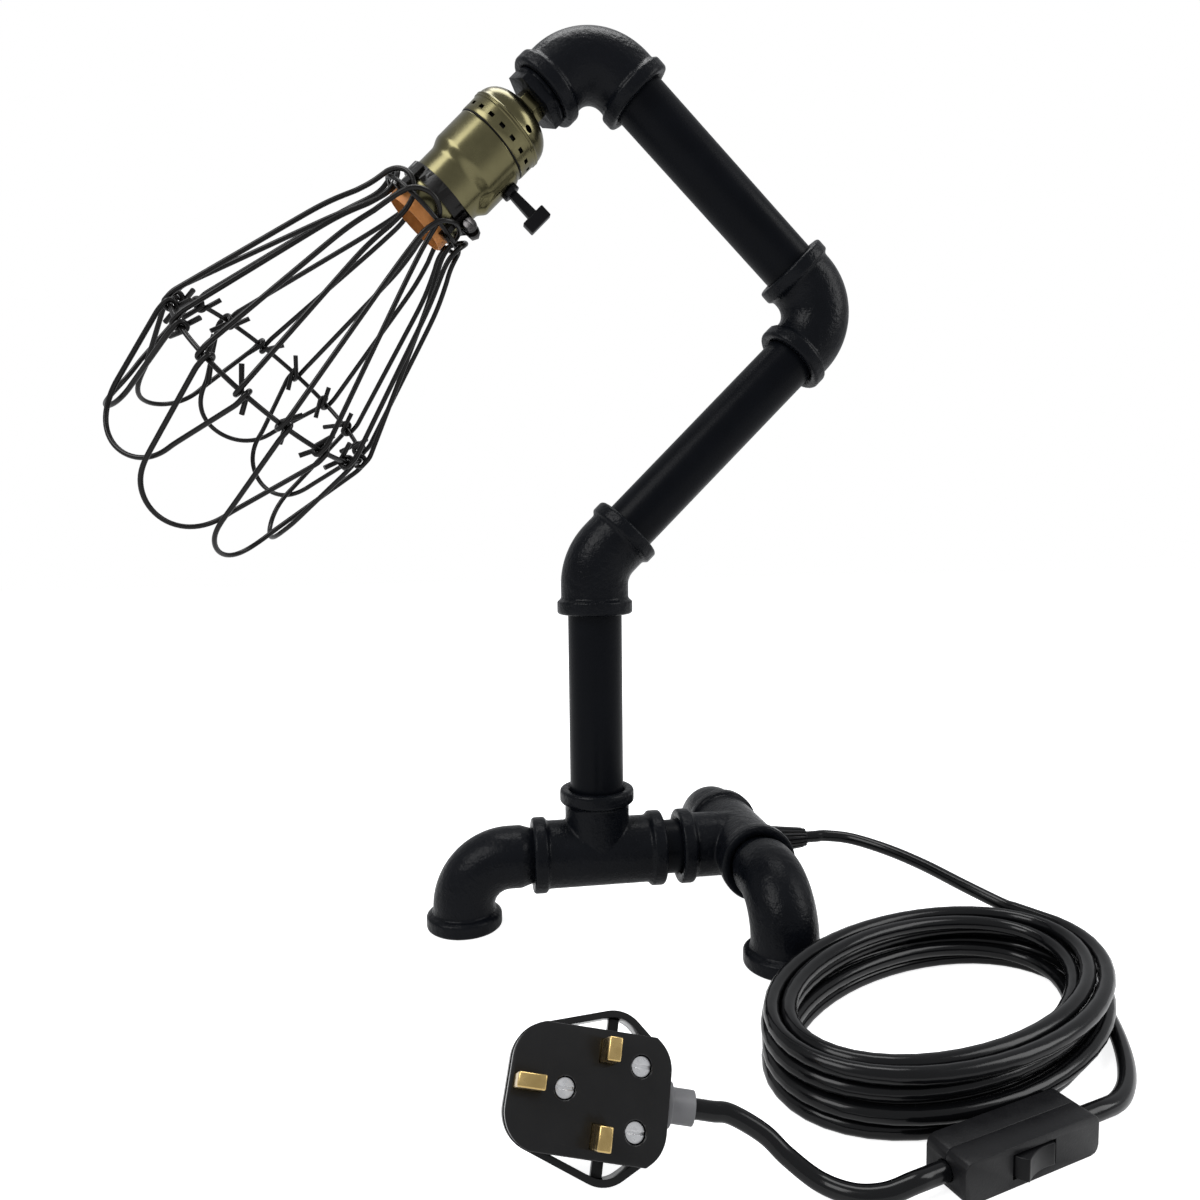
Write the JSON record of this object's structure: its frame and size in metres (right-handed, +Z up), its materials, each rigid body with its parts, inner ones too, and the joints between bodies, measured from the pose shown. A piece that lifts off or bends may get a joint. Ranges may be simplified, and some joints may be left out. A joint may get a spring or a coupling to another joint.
{
  "type": "table lamp",
  "caption": "Table lamp of threaded iron pipe and cast fittings on three elbow feet, with a caged brass key socket, a coiled lead, an in-line switch and a three-pin plug.",
  "frame": {"origin": "on the floor under the middle of the box of the lamp without its free lead", "axes": "+Z up, +X from the left foot to the pair of right feet, +Y away from the viewer"},
  "size_m": [0.4264, 0.3058, 0.4344],
  "materials": {
    "cast": "cast, oiled black",
    "pipe": "black iron pipe, satin",
    "wire": "black lacquered wire",
    "brass": "antique, greenish",
    "bright_brass": "plain",
    "fibre": "vulcanised fibre",
    "insulator": "black moulded",
    "key": "black moulded",
    "lead": "black flexible lead",
    "grip": "black moulded",
    "switch": "black moulded",
    "rocker": "black moulded",
    "plug": "black moulded",
    "collar": "grey moulded",
    "pins": "bright",
    "screws": "bright zinc",
    "fuse": "white tube"
  },
  "bodies": {
    "base": {"foot_elbow_left": "cast", "foot_elbow_front": "cast", "foot_elbow_back": "cast", "post_tee": "cast", "foot_tee": "cast", "base_nipple": "pipe", "post_pipe": "pipe", "cord_grip": "grip", "lead_base": "lead", "cord_lead": "lead", "cord_coil": "lead", "cord_link": "lead", "cord_tail": "lead", "switch_back": "switch", "switch_front": "switch", "plug_cover": "plug", "plug_base": "plug", "plug_pins": "pins", "plug_screws": "screws", "plug_fuse": "fuse", "plug_collar": "collar"},
    "lower_arm": {"elbow_45": "cast", "lower_arm_pipe": "pipe", "lead_lower": "lead"},
    "upper_arm": {"knee_elbow": "cast", "upper_arm_pipe": "pipe", "lead_upper": "lead"},
    "head": {"top_elbow": "cast", "hex_bushing": "cast", "neck_nipple": "brass", "socket_cap": "brass", "socket_insulator": "insulator", "socket_shell": "brass", "screw_shell": "bright_brass", "centre_contact": "bright_brass", "fibre_sleeve": "fibre", "lead_head": "lead", "clamp_band": "wire", "clamp_screw": "screws", "clamp_nut": "screws", "neck_ring": "wire", "guard_ring": "wire", "upper_loop_1": "wire", "upper_loop_2": "wire", "upper_loop_3": "wire", "upper_loop_4": "wire", "upper_loop_5": "wire", "upper_loop_6": "wire", "upper_loop_7": "wire", "upper_loop_8": "wire", "lower_loop_1": "wire", "lower_loop_2": "wire", "lower_loop_3": "wire", "lower_loop_4": "wire", "lower_loop_5": "wire", "lower_loop_6": "wire", "lower_loop_7": "wire", "lower_loop_8": "wire"},
    "key": {"turn_key": "key"},
    "rocker": {"switch_rocker": "rocker"}
  },
  "joints": [
    {"name": "post_swivel", "type": "hinge", "parent": "base", "child": "lower_arm", "pos_m": [0.0505, 0, 0.1801], "axis": [0, 0, 1], "range_deg": [-60, 60]},
    {"name": "knee_swivel", "type": "hinge", "parent": "lower_arm", "child": "upper_arm", "pos_m": [0.17446, 0, 0.30406], "axis": [0.7071, 0, 0.7071], "range_deg": [-90, 90]},
    {"name": "head_swivel", "type": "hinge", "parent": "upper_arm", "child": "head", "pos_m": [0.05135, 0, 0.42716], "axis": [-0.7071, 0, 0.7071], "range_deg": [-120, 120]},
    {"name": "key_turn", "type": "hinge", "parent": "head", "child": "key", "pos_m": [-0.00257, 0.00266, 0.37324], "axis": [0.7071, 0, -0.7071], "continuous": true},
    {"name": "rocker_tilt", "type": "hinge", "parent": "base", "child": "rocker", "pos_m": [0.14973, -0.20809, 0.0065], "axis": [0, 0, 1], "range_deg": [-20, 0]}
  ]
}
